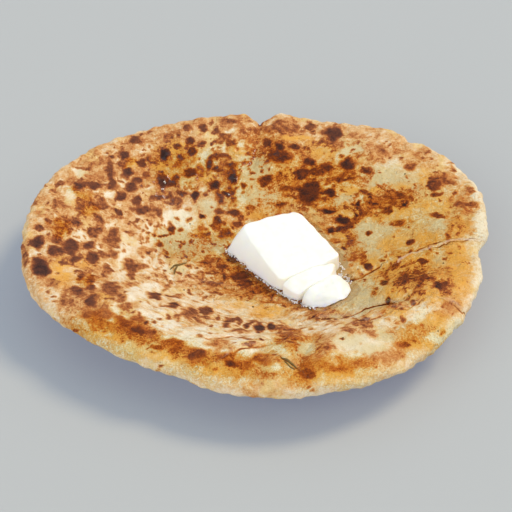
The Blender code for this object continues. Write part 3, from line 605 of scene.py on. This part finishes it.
def front_place(points):
    """Where points show in the front view, in its steps from the left and from the top."""
    off = points - EYE
    scale = CAMERA_DISTANCE / PIXEL / -(off @ BACK)
    return FRONT_VIEW / 2 + scale * off[:, 0], FRONT_VIEW / 2 - scale * (off @ OVER)


def spots(view, marks, reach=2.6):
    """For each mark of a place, width and height: the points near it and how far out of it each is.

    That is 0 at its middle and 1 on its outline.
    """
    for u, v, width, height in marks:
        near = np.flatnonzero(
            (np.abs(view[0] - u) < reach * width / 2) & (np.abs(view[1] - v) < reach * height / 2)
        )
        yield near, np.hypot((view[0][near] - u) / (width / 2), (view[1][near] - v) / (height / 2))


def patches(view, marks):
    """How much points lie in soft patches, from 0 to 1."""
    total = np.zeros_like(view[0])
    for near, off in spots(view, marks, 2.0):
        total[near] = np.maximum(total[near], fade_out(off, *PATCH_FADE))
    return total


def line_distance(view, line):
    """How far points of the front view are from a line through several places, less than 0 above it."""
    closest = np.full_like(view[0], 1e3)
    for start, end in zip(line, line[1:]):
        _, past, left = from_line(*view, start, end)
        off = np.copysign(np.hypot(past, left), left)
        closest = np.where(np.abs(off) < np.abs(closest), off, closest)
    return closest


def speckle_marks():
    """Small spots strewn over the patches of SPECKLES, always the same: marks and how brown they are."""
    draws = np.random.default_rng(5)
    for u, v, half_width, half_height, count in SPECKLES:
        for _ in range(count):
            turn, out = draws.uniform(0, math.tau), math.sqrt(draws.uniform())
            width, level = draws.uniform(2.4, 6.0), draws.uniform(0.3, 0.72)
            yield (
                (u + half_width * out * math.cos(turn), v + half_height * out * math.sin(turn),
                 width, width * draws.uniform(0.45, 0.85)), level,
            )


# Meshes


def meshed(name, bm):
    """A mesh from a bmesh, which is freed."""
    mesh = bpy.data.meshes.new(name)
    bm.to_mesh(mesh)
    bm.free()
    return mesh


def placed(name, data):
    """An object of the scene for a mesh, a light or a camera."""
    made = bpy.data.objects.new(name, data)
    bpy.context.scene.collection.objects.link(made)
    return made


def finished(name, bm):
    """An object from a bmesh, shaded smooth, riding on the model's body."""
    made = placed(name, meshed(name, bm))
    made.data.shade_smooth()
    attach(made, "root")
    return made


def read_points(mesh):
    """A mesh's points, one a row."""
    points = np.empty(len(mesh.vertices) * 3)
    mesh.vertices.foreach_get("co", points)
    return points.reshape(-1, 3)


def write_points(mesh, points):
    """Puts a mesh's points where the rows say."""
    mesh.vertices.foreach_set("co", points.astype(np.float32).ravel())
    mesh.update()


def write_values(mesh, name, values):
    """Stores one number a vertex, for the finish to read."""
    mesh.attributes.new(name, "FLOAT", "POINT").data.foreach_set("value", values.astype(np.float32))


def make_globe(around, down):
    """A closed unit sphere of rings, from its lowest point up: a grid wrapped round and merged."""
    bm = bmesh.new()
    bmesh.ops.create_grid(bm, x_segments=around, y_segments=down, size=1.0)
    for vertex in bm.verts:
        turn, fall = vertex.co.x * math.pi, (vertex.co.y + 1) * math.pi / 2
        vertex.co = (math.sin(fall) * math.cos(turn), math.sin(fall) * math.sin(turn), -math.cos(fall))
    bmesh.ops.remove_doubles(bm, verts=bm.verts[:], dist=1e-6)
    return bm


def waves(points):
    """Two pairs of waves, broad and narrow, by which marks wander across and down in the front view."""
    starts = ((11.0, 17.0), (21.0, 27.0))
    spreads = zip(WANDER_SPREADS, starts)
    return [[bumps(points, spread, start) for start in pair] for spread, pair in spreads]


def wandered(view, broad_waves, narrow_waves, broad, narrow):
    """Places of the front view moved by waves, so that what is painted by them has an uneven edge."""
    return [place + broad * a + narrow * b for place, a, b in zip(view, broad_waves, narrow_waves)]


def browned(view):
    """What the marks do at points of the front view: how brown, their halos, and how raised."""
    brown, halo, dome = np.zeros((3, len(view[0])))
    for *mark, level in MARKS:
        for near, off in spots(view, (mark,)):
            brown[near] = np.maximum(brown[near], level * fade_out(off, *MARK_FADE))
            halo[near] = np.maximum(halo[near], level * np.exp(-np.maximum(off - 0.8, 0) ** 2))
            if level > DOMED_LEVEL:
                dome[near] = np.maximum(dome[near], fade_out(off, *BLISTER_FADE))
    for mark, level in speckle_marks():
        for near, off in spots(view, (mark,)):
            brown[near] = np.maximum(brown[near], level * fade_out(off, *SPECKLE_FADE))
    return brown, halo, dome


def toasted(view):
    """How much browner broad toasting makes points of the front view."""
    toast = np.zeros(len(view[0]))
    for start_u, start_v, end_u, end_v, half_width, level in WASHES:
        _, past, left = from_line(*view, (start_u, start_v), (end_u, end_v))
        toast = np.maximum(toast, level * fade_out(np.hypot(past, left) / half_width, *WASH_FADE))
    return toast


def creased(mesh, view, waver):
    """How deep the creases are at points of the front view. Stores how far each point is from each."""
    depths = np.zeros(len(view[0]))
    for number, (line, width, depth, _, lip_highlight) in enumerate(CREASES):
        off = line_distance(view, line) + 0.8 * waver
        write_values(mesh, f"crease_{number}", off)
        raised = 0.7 * lip_highlight * np.exp(-((off / width + 3.0) / 2.0) ** 2)
        depths += depth * (np.exp(-((off / (1.3 * width)) ** 2)) - raised)
    return depths


def make_bread():
    """The bread: a globe whose rings are laid over the sheet's section, from top to underside."""
    bread = finished("paratha_bread", make_globe(BREAD_AROUND, BREAD_DOWN))
    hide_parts("paratha")
    mesh = bread.data
    globe = read_points(mesh)
    turn = np.arctan2(globe[:, 1], globe[:, 0])
    fall = np.arccos(np.clip(globe[:, 2], -1, 1)) / np.pi
    points, facing, rise, out = bread_skin(turn, fall)
    low, high = (np.array(corner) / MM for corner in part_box("paratha"))
    points[:, :2] += ((low + high) / 2 - (points.min(axis=0) + points.max(axis=0)) / 2)[:2]
    view = front_place(points)
    broad_waves, narrow_waves = waves(points)
    uneven = wandered(view, broad_waves, narrow_waves, *MARK_WANDER)
    broken = wandered(view, broad_waves, narrow_waves, *WASH_WANDER)

    under = np.maximum(-rise, 0) * fade_out(out, *UNDERSIDE_EDGE)
    seen = 1 - under
    brown, halo, dome = browned(uneven)
    wrinkled = patches(broken, WRINKLED)
    painted = {
        "brown": brown,
        "halo": halo,
        "wrinkled": wrinkled,
        "wet": patches(broken, SOAKED),
        "glossy": patches(broken, GLOSSY),
        "window": patches(uneven, WINDOWS),
        "cream": patches(uneven, CREAMS),
        "gilded": patches(uneven, GILDED),
        "smooth": patches(view, SMOOTH),
    }
    for name, values in painted.items():
        write_values(mesh, name, values * seen)
    write_values(mesh, "toast", toasted(broken) * seen + UNDERSIDE_TOAST * under)
    write_values(mesh, "under", under)
    ring = np.column_stack((np.cos(turn), np.sin(turn), out))
    ring *= (WRINKLE_LENGTH, WRINKLE_LENGTH, WRINKLE_CLOSENESS)
    ring_values = mesh.attributes.new("ring", "FLOAT_VECTOR", "POINT").data
    ring_values.foreach_set("vector", ring.astype(np.float32).ravel())

    small_height = CRUST_HEIGHTS[1] + ROUGHER_RIM * fade_in(out, 0.85, 0.95)
    relief = CRUST_HEIGHTS[0] * bumps(points, CRUST_SPREADS[0], 3.0)
    relief += small_height * bumps(points, CRUST_SPREADS[1], 9.0)
    relief += (BLISTER_HEIGHT * dome - creased(mesh, view, narrow_waves[0])) * seen
    relief += WRINKLE_HEIGHT * wrinkled * seen * bumps(ring, 1.0, 5.0)
    points += facing * relief[:, None]
    points[:, 2] = np.maximum(points[:, 2], 0.0)
    write_points(mesh, points * MM)
    return bread


def between(corners, along, across, bulges):
    """Places inside four corners: along runs from the first to the second, across to the fourth."""
    a, b, c, d = (np.array(corner[:2]) for corner in corners)
    along, across = along[:, None], across[:, None]
    place = (a + (b - a) * along) * (1 - across) + (d + (c - d) * along) * across
    to_left = unit(np.array([[b[1] - a[1], a[0] - b[0]]]))
    to_near = unit(np.array([[d[1] - a[1], a[0] - d[0]]]))
    left, near, right, far = bulges
    place = place + to_left * (1 - (2 * along - 1) ** 2) * (left * (1 - across) - right * across)
    return place + to_near * (1 - (2 * across - 1) ** 2) * (near * along - far * (1 - along))


def bread_height(tree, places):
    """How high the bread stands at places in plan."""
    down = Vector((0, 0, -1))
    return np.array([tree.ray_cast(Vector((x * MM, y * MM, 0.1)), down)[0].z for x, y in places]) / MM


def vertex_normals(mesh):
    """Which way a mesh faces at each point."""
    normals = np.empty(len(mesh.vertices) * 3)
    mesh.vertex_normals.foreach_get("vector", normals)
    return normals.reshape(-1, 3)


def make_butter(name, tree):
    """A piece of butter: a rounded cube between a foot that follows the bread and a top that sags."""
    foot, top, bulges = BUTTER_PIECES[name]
    rounding, sags, roundness = BUTTER_SOFTNESS[name]
    bm = bmesh.new()
    bmesh.ops.create_cube(bm, size=1.0)
    bmesh.ops.bevel(
        bm, geom=bm.edges[:], offset=rounding, offset_type="OFFSET", affect="EDGES",
        segments=3, profile=0.5, material=-1,
    )
    bmesh.ops.subdivide_edges(
        bm, edges=[e for e in bm.edges if e.calc_length() > 0.5], cuts=BUTTER_CUTS, use_grid_fill=True,
    )
    butter = finished(name.replace("butter", "soft_butter"), bm)
    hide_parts(name)
    cube = read_points(butter.data)
    across, along, up = cube[:, 0] + 0.5, 0.5 - cube[:, 1], cube[:, 2] + 0.5
    closed = fade_in(across, *FIRST_CUT_CLOSES) * fade_out(across, *FIRST_CUT_OPENS)
    up = up + (1 - up) * closed * (up > 0.9) * at_first_cut(name, along)
    lean = (up**BUTTER_LEAN)[:, None]
    place = between(foot, along, across, bulges) * (1 - lean) + between(top, along, across, bulges) * lean
    corner = np.abs((2 * along - 1) * (2 * across - 1)) ** 5
    place += (np.mean([spot[:2] for spot in foot], axis=0) - place) * (roundness * corner)[:, None]
    place += PLAN_SHIFT
    left_height = top[0][2] + (top[1][2] - top[0][2]) * along
    right_height = top[3][2] + (top[2][2] - top[3][2]) * along
    height = left_height + (right_height - left_height) * (1 - (1 - across) ** 2)
    height *= 1 - sags[0] * (1 - across) ** 6 - sags[1] * along**5 * (1 - corner) - sags[2] * across**6
    z = bread_height(tree, place) + BUTTER_GAP + (height - BUTTER_GAP) * up
    points = np.column_stack((place, z))
    write_points(butter.data, points * MM)

    facing = vertex_normals(butter.data)
    uneven = BUTTER_UNEVEN * (bumps(points, 7.0, 4.0) + 0.5 * bumps(points, 2.8, 6.0))
    drips = 0.35 + bumps(points, 3.4, 8.0) + 0.7 * bumps(points, 1.5, 2.0)
    skirt = fade_out(up, 0.0, 0.3) * BUTTER_MELT * drips
    cut = at_cut(name, along)
    closing = cut_closing(name, along, across) * cut * (up > 0.05)
    points += facing * (uneven * fade_in(up, 0.1, 0.4) * (1 - 0.8 * cut) + closing)[:, None]
    points[:, :2] += unit(facing * (1, 1, 0))[:, :2] * (skirt * (1 - cut))[:, None]
    write_points(butter.data, points * MM)
    return butter


def at_first_cut(name, along):
    """Whether places are at the cut between the block and the slice next to it."""
    if name == "butter_block":
        return along > 0.9
    if name == "butter_inner_slice":
        return along < 0.1
    return np.zeros(len(along), bool)


def at_cut(name, along):
    """1 where a piece faces the next one across a cut, so that nothing bulges into the cut there."""
    near = fade_in(along, 0.8, 0.95) * (name != "butter_end_slice")
    far = fade_out(along, 0.05, 0.2) * (name != "butter_block")
    return np.maximum(near, far)


def cut_closing(name, along, across):
    """How far a piece's faces have crept into the cuts beside it."""
    closings = (FIRST_CUT_CLOSING, SECOND_CUT_CLOSING)
    first, second = (left + (right - left) * across for left, right in closings)
    if name == "butter_inner_slice":
        return np.where(along > 0.5, second, first)
    return first if name == "butter_block" else second


def make_melt(tree):
    """Melted butter round the foot: a flat lens laid on the bread, thinning to its outline."""
    melt = finished("melted_butter_film", make_globe(MELT_AROUND, MELT_DOWN))
    globe = read_points(melt.data)
    turn = np.arctan2(globe[:, 1], globe[:, 0]) / math.tau % 1.0
    out = np.hypot(globe[:, 0], globe[:, 1])
    middle = np.mean(MELT_OUTLINE, axis=0)
    spread = closed_curve(MELT_OUTLINE, turn) - middle
    flat = np.column_stack((spread, 0 * turn))
    ragged = 1 + 0.035 * bumps(flat, 4.0) + 0.02 * bumps(flat, 1.6)
    place = middle + spread * (out * ragged)[:, None] + PLAN_SHIFT
    upper = globe[:, 2] > 0
    lens = MELT_DEPTH * np.sqrt(np.maximum(1 - out**8, 0)) * np.where(upper, 1.0, -0.4)
    points = np.column_stack((place, bread_height(tree, place) + lens))
    write_points(melt.data, points * MM)
    return melt


def strewn(name, beads):
    """One object of small balls, each with a place and a radius in millimetres."""
    one = bmesh.new()
    bmesh.ops.create_uvsphere(one, u_segments=9, v_segments=6, radius=MM)
    ball = meshed("ball", one)
    bm = bmesh.new()
    for place, radius in beads:
        move = Matrix.Translation(Vector(place) * MM) @ Matrix.Scale(radius, 4)
        ball.transform(move)
        bm.from_mesh(ball)
        ball.transform(move.inverted())
    bpy.data.meshes.remove(ball)
    return finished(name, bm)


def bubble_beads(tree):
    """Small bubbles in the melted butter, in clusters round the foot."""
    draws = np.random.default_rng(3)
    for x, y, count in BUBBLES:
        for _ in range(count):
            place = np.array((x, y)) + PLAN_SHIFT + draws.normal(0, BUBBLE_SPREAD / 2, 2)
            yield (*place, bread_height(tree, [place])[0] + MELT_DEPTH), draws.uniform(*BUBBLE_SIZES)


def froth_beads(tree):
    """Beads of froth where the butter melts at its foot."""
    draws = np.random.default_rng(8)
    for start, end, count, stray in FROTH:
        for _ in range(count):
            part = draws.uniform()
            place = np.array(start) * (1 - part) + np.array(end) * part + PLAN_SHIFT
            place = place + draws.normal(0, stray, 2)
            radius = draws.uniform(*FROTH_SIZES)
            yield (*place, bread_height(tree, [place])[0] + MELT_DEPTH + 0.3 * radius), radius


def seen_place(tree, u, v):
    """The place on the bread that shows at u, v in the front view."""
    right, down = (u - FRONT_VIEW / 2) * PIXEL, (v - FRONT_VIEW / 2) * PIXEL
    towards = Vector(np.array((right, 0, 0)) - down * OVER - CAMERA_DISTANCE * BACK)
    return np.array(tree.ray_cast(Vector(EYE * MM), towards.normalized())[0]) / MM


def make_sliver(number, line, width, tree):
    """A thin leaf sliver laid on the bread through places of the front view."""
    sliver = finished(f"herb_sliver_{number}", make_globe(12, 40))
    globe = read_points(sliver.data)
    stations = np.array([seen_place(tree, u, v)[:2] for u, v in line])
    along = (globe[:, 2] + 1) / 2 * (len(stations) - 1)
    first = np.minimum(along.astype(int), len(stations) - 2)
    part = (along - first)[:, None]
    step = stations[first + 1] - stations[first]
    side = unit(np.column_stack((-step[:, 1], step[:, 0])))
    place = stations[first] + step * part + side * (globe[:, 0] * width / 2)[:, None]
    height = bread_height(tree, place) + HERB_THICKNESS * (0.6 + globe[:, 1])
    write_points(sliver.data, np.column_stack((place, height)) * MM)
    return sliver


# Finishes


class Value:
    """A number from a shader socket. Python's operators on it add Math nodes."""

    def __init__(self, finish, socket):
        self.finish = finish
        self.socket = socket

    def maths(self, operation, *numbers, clamp=False):
        settings = {"operation": operation, "use_clamp": clamp}
        return Value(self.finish, self.finish.node("ShaderNodeMath", settings, *numbers).outputs[0])

    def __add__(self, other):
        return self.maths("ADD", self, other)

    def __radd__(self, other):
        return self.maths("ADD", other, self)

    def __sub__(self, other):
        return self.maths("SUBTRACT", self, other)

    def __rsub__(self, other):
        return self.maths("SUBTRACT", other, self)

    def __mul__(self, other):
        return self.maths("MULTIPLY", self, other)

    def __rmul__(self, other):
        return self.maths("MULTIPLY", other, self)

    def __truediv__(self, other):
        return self.maths("DIVIDE", self, other)

    def __abs__(self):
        return self.maths("ABSOLUTE", self)

    def clamped(self):
        return self.maths("ADD", self, 0.0, clamp=True)

    def at_least(self, other):
        return self.maths("MAXIMUM", self, other)

    def rising(self, start, end):
        """0 below start, 1 above end, and a smooth step between."""
        settings = {"interpolation_type": "SMOOTHSTEP"}
        node = self.finish.node("ShaderNodeMapRange", settings, Value=self, From_Min=start, From_Max=end)
        return Value(self.finish, node.outputs["Result"])


class Finish:
    """A material and what its shader is built from."""

    MIX_COLOURS = (6, 7)  # where a Mix node takes its two colours
    MIX_RESULT = 2  # and where it gives the blended one

    def __init__(self, name, **constants):
        self.material = bpy.data.materials.new(name)
        self.material.use_nodes = True
        self.tree = self.material.node_tree
        self.shader = self.tree.nodes["Principled BSDF"]
        self.drive(**constants)
        self.places = self.node("ShaderNodeTexCoord", {}).outputs["Object"]

    def node(self, kind, settings, *in_order, **by_name):
        """A node of a kind: its settings first, then numbers, colours or links for its inputs."""
        made = self.tree.nodes.new(kind)
        for setting, value in settings.items():
            if setting == "stops":
                set_stops(made.color_ramp, value)
            else:
                setattr(made, setting, value)
        for socket, value in zip(made.inputs, in_order):
            self.feed(socket, value)
        for name, value in by_name.items():
            self.feed(made.inputs[name.replace("_", " ")], value)
        return made

    def feed(self, socket, value):
        """Gives a socket a number, a colour or a link."""
        if isinstance(value, Value):
            self.tree.links.new(value.socket, socket)
        elif isinstance(value, bpy.types.NodeSocket):
            self.tree.links.new(value, socket)
        else:
            socket.default_value = value

    def drive(self, **values):
        """Feeds the shader's own sockets."""
        for name, value in values.items():
            self.feed(self.shader.inputs[name.replace("_", " ")], value)

    def roughen(self, relief, strength, depth):
        """Raises the surface by relief, up to depth in millimetres."""
        node = self.node("ShaderNodeBump", {}, Strength=strength, Distance=depth * MM, Height=relief)
        self.drive(Normal=node.outputs["Normal"])

    def stored(self, name):
        """A number stored on the vertices."""
        return Value(self, self.node("ShaderNodeAttribute", {"attribute_name": name}).outputs["Fac"])

    def grain(self, size_mm, detail=2.0, roughness=0.5, offset=0.0, distortion=0.0, places=None):
        """Noise from about -0.5 to 0.5 whose lumps are about size_mm across."""
        moved = self.node(
            "ShaderNodeMapping", {"vector_type": "POINT"},
            Vector=places or self.places, Location=(offset, offset * 0.7, offset * 1.3),
        )
        lumps = self.node(
            "ShaderNodeTexNoise", {}, Vector=moved.outputs["Vector"], Scale=1 / (size_mm * MM),
            Detail=detail, Roughness=roughness, Distortion=distortion,
        )
        return Value(self, lumps.outputs["Fac"]) - 0.5

    def blend(self, share, first, second):
        """A colour between two, by share."""
        node = self.node("ShaderNodeMix", {"data_type": "RGBA"}, share)
        for place, colour in zip(self.MIX_COLOURS, (first, second)):
            self.feed(node.inputs[place], colour)
        return node.outputs[self.MIX_RESULT]

    def ramp(self, value, stops):
        """A colour by a value, from stops of place and tone."""
        return self.node("ShaderNodeValToRGB", {"stops": stops}, value).outputs["Color"]


def set_stops(ramp, stops):
    """Gives a new ramp its stops. It has one at each end already."""
    for element, (place, colour) in zip(ramp.elements, (stops[0], stops[-1])):
        element.position = place
        element.color = tone(*colour)
    for place, colour in stops[1:-1]:
        ramp.elements.new(place).color = tone(*colour)


def tone(red, green, blue):
    """A colour for Blender from screen values of 0 to 255."""
    shares = [value / 255 for value in (red, green, blue)]
    return (*(s / 12.92 if s <= 0.04045 else ((s + 0.055) / 1.055) ** 2.4 for s in shares), 1.0)


class Crust(Finish):
    """Toasted dough: cream to golden, with brown and charred blisters, wet with butter in the middle.

    Its level runs from 0, raw dough, to 1, charred, and its tone follows from that.
    """

    def __init__(self):
        super().__init__("toasted dough", IOR=1.42, Specular_IOR_Level=0.06, Coat_Roughness=0.15)
        self.brown, self.wet, self.cream, self.smooth, self.glossy, self.wrinkled = (
            self.stored(name) for name in ("brown", "wet", "cream", "smooth", "glossy", "wrinkled")
        )
        # Noise with lumps of four sizes, and one that is drawn out along the wrinkles
        self.broad = self.grain(9.0, 3.0, 0.55)
        self.blobs = self.grain(3.4, 1.6, 0.5, 0.9, 0.4)
        self.fine = self.grain(1.9, 4.0, 0.65, 0.3)
        self.dust = self.grain(0.7, 2.0, 0.5, 0.7)
        ring = self.node("ShaderNodeAttribute", {"attribute_name": "ring"}).outputs["Vector"]
        self.streaks = self.grain(400.0, 3.0, 0.6, 0.4, 0.0, ring)
        level = self.marked(self.raw_dough(), self.toasting())
        level = level.at_least(self.underside())
        level, lip_highlight, relief = self.creased(level, self.crumb())
        self.drive(
            Base_Color=self.colour(level, lip_highlight),
            Roughness=(0.62 - self.wet * 0.22 + self.fine * 0.3).clamped(),
            Coat_Weight=self.oil(),
        )
        self.roughen(relief, 1.0, 0.9)

    def raw_dough(self):
        """The uneven level of dough that hasn't browned."""
        level = 0.11 + self.broad * 0.2 + self.fine * 0.28 + self.dust * 0.26 - self.cream * 0.11
        return level + self.wrinkled * self.streaks * 0.5 + self.wet * (self.fine * 0.3 + self.dust * 0.3)

    def toasting(self):
        """Broad toasting and the marks' halos, mottled, with streaks along the wrinkles."""
        golden = (self.stored("toast") * 0.66 + self.stored("halo") * 0.18) * (1.0 - self.cream * 0.85)
        freckles = (self.grain(4.0, 2.0, 0.5, 1.7, 0.3) + self.fine * 0.3).rising(0.0, 0.16)
        mottle = self.broad * 1.5 + self.blobs * 1.5 + freckles * 0.5 + self.fine + self.dust * 0.5 - 0.14
        golden = golden * (1.0 + mottle * (1.0 - self.smooth * 0.75))
        return golden + self.wrinkled * (self.streaks * 2.0 - 0.14).at_least(0.0)

    def marked(self, base, golden):
        """The dough with its marks, whose edges are ragged where the crust isn't smooth."""
        ragged = self.brown.rising(0.05, 0.4) * (1.0 - self.brown.rising(0.7, 0.9) * 0.6)
        ragged = ragged * (1.0 - self.smooth * 0.5)
        marks = self.brown * 0.93 + ragged * (self.fine * 0.55 + self.dust * 0.4 + self.blobs * 0.75)
        return (base + golden).at_least(marks + base * 0.3)

    def underside(self):
        """Toasted spots on the underside."""
        spotted = (self.grain(8.0, 2.0, 0.5, 2.3) + self.fine * 0.4).rising(0.04, 0.2)
        return self.stored("under") * spotted * (0.66 + self.blobs + self.fine)

    def crumb(self):
        """The fine relief of the crust, which is livelier where it is oily."""
        relief = (self.fine + self.dust * 0.7) * (1.0 + self.wet * 0.7 + self.glossy * 0.7)
        return relief + self.blobs * 0.9 + self.wrinkled * self.streaks * 2.4

    def creased(self, level, relief):
        """The level and relief with creases, dark from browning and painted shade, and the lips' painted
        highlight.
        """
        lip_highlight = 0.0
        for number, (_, width, depth, darkness, highlight) in enumerate(CREASES):
            off = self.stored(f"crease_{number}") + self.fine * 1.6
            line = (1.0 - abs(off / width)).clamped()
            # The dark line is partly browning and partly painted shade in the crease
            dark = line.rising(0.0, 0.8) * darkness * (0.95 + self.broad * 1.6 + self.blobs * 1.6)
            # A painted highlight on the lip above the crease
            pale = (1.0 - abs(off / width + 1.8) * 0.8).clamped()
            lip_highlight = pale * (highlight + self.blobs * 2.0 * highlight) + lip_highlight
            level, relief = level.at_least(dark), relief - line * depth
        return level, lip_highlight, relief

    def colour(self, level, lip_highlight):
        """The tone of each level: dry or buttery, warm in patches, pale in thin dough, with a painted
        highlight at lips.
        """
        colour = self.blend(self.wet, self.ramp(level, DRY_TONES), self.ramp(level, OILY_TONES))
        warm = (self.grain(11.0, 2.0, 0.6, 3.7) + self.fine * 0.3).rising(0.02, 0.2)
        colour = self.blend(warm * (1.0 - level.rising(0.3, 0.5)) * 0.5, colour, tone(*WARM_TONE))
        window = self.stored("window") * (1.0 - level.rising(0.2, 0.42))
        colour = self.blend(window * 0.7, colour, tone(*WINDOW_TONE))
        gilded = self.stored("gilded") * (1.0 - level.rising(0.34, 0.56))
        gilded = gilded * (0.75 + self.broad * 1.4 + self.fine * 1.4 + self.blobs).clamped()
        colour = self.blend(gilded * 0.9, colour, tone(*GILDED_TONE))
        # Lips above creases get a painted highlight
        return self.blend(lip_highlight.clamped() * 0.7, colour, tone(*LIP_HIGHLIGHT_TONE))

    def oil(self):
        """Where oil stands in beads on the crust and glistens."""
        beads = (self.blobs + self.fine * 1.4).rising(0.03, 0.13)
        return (self.glossy * (self.brown * 0.8 + 0.3) * beads).clamped()


def butter_finish():
    """Soft ivory butter, with a faint painted glow that lightens its shaded faces."""
    finish = Finish(
        "soft butter", Roughness=0.4, IOR=1.45, Specular_IOR_Level=0.4, Subsurface_Weight=0.7,
        Subsurface_Radius=(0.004, 0.0035, 0.0022), Subsurface_Scale=1.0,
        # The faint emission is a painted glow that lightens the butter's shaded faces
        Emission_Color=tone(255, 249, 236), Emission_Strength=0.05,
    )
    mottle = (finish.grain(6.0, 3.0) + 0.5).clamped()
    finish.drive(Base_Color=finish.blend(mottle, tone(254, 249, 235), tone(252, 245, 224)))
    finish.roughen(finish.grain(1.6, 3.0), 0.25, 0.4)
    return finish.material


def herb_finish():
    """Cooked leaf and seeds: dark green to brown."""
    finish = Finish("herb", Roughness=0.45, Specular_IOR_Level=0.3)
    mottle = (finish.grain(2.0) * 1.6 + 0.5).clamped()
    finish.drive(Base_Color=finish.blend(mottle, tone(122, 100, 34), tone(112, 74, 30)))
    return finish.material


def melt_finish():
    """Clear golden melted butter."""
    finish = Finish("melted butter", Roughness=0.08, IOR=1.46, Alpha=0.2)
    mottle = (finish.grain(3.0) + 0.5).clamped()
    finish.drive(Base_Color=finish.blend(mottle, tone(186, 128, 62), tone(150, 92, 36)))
    finish.roughen(finish.grain(2.0, 2.0), 0.25, 0.4)
    return finish.material


# Floor, light and camera


def make_floor():
    """A plain pale floor."""
    bm = bmesh.new()
    bmesh.ops.create_grid(bm, x_segments=2, y_segments=2, size=FLOOR_REACH)
    floor = placed("floor", meshed("floor", bm))
    finish = Finish(
        "pale floor", Roughness=0.6, Base_Color=tone(*FLOOR_TONE),
        Emission_Color=tone(*FLOOR_GLOW_TONE), Emission_Strength=FLOOR_GLOW,
    )
    floor.data.materials.append(finish.material)


def make_light():
    """Soft light from a pale sky and from three suns."""
    world = bpy.data.worlds.new("studio")
    world.use_nodes = True
    sky = world.node_tree.nodes["Background"]
    sky.inputs["Color"].default_value = tone(*SKY_TONE)
    sky.inputs["Strength"].default_value = SKY_STRENGTH
    bpy.context.scene.world = world
    for name, (direction, softness, strength, colour) in SUNS.items():
        light = bpy.data.lights.new(name, "SUN")
        light.angle = math.radians(softness)
        light.energy = strength
        light.color = tone(*colour)[:3]
        placed(name, light).rotation_euler = Vector(direction).to_track_quat("Z", "Y").to_euler()


def make_camera():
    """The camera of the front view."""
    lens = bpy.data.cameras.new("front")
    lens.sensor_width = SENSOR
    lens.lens = SENSOR * CAMERA_DISTANCE / PIXEL / FRONT_VIEW
    camera = placed("front", lens)
    camera.location = EYE * MM
    camera.rotation_euler = Vector(-BACK).to_track_quat("-Z", "Y").to_euler()
    bpy.context.scene.camera = camera
    bpy.context.scene.view_settings.view_transform = "Standard"


bread = make_bread()
bread.data.materials.append(Crust().material)
bpy.context.view_layer.update()
bread_tree = BVHTree.FromObject(bread, bpy.context.evaluated_depsgraph_get())
soft_butter = butter_finish()
for piece_name in BUTTER_PIECES:
    make_butter(piece_name, bread_tree).data.materials.append(soft_butter)
strewn("soft_butter_froth", froth_beads(bread_tree)).data.materials.append(soft_butter)
melted = melt_finish()
make_melt(bread_tree).data.materials.append(melted)
strewn("melted_butter_bubbles", bubble_beads(bread_tree)).data.materials.append(melted)
herb = herb_finish()
for sliver_number, (sliver_line, sliver_width) in enumerate(HERB_SLIVERS):
    make_sliver(sliver_number, sliver_line, sliver_width, bread_tree).data.materials.append(herb)
seeds = [(seen_place(bread_tree, u, v), radius) for u, v, radius in SEEDS]
strewn("dark_seeds", seeds).data.materials.append(herb)
make_floor()
make_light()
make_camera()
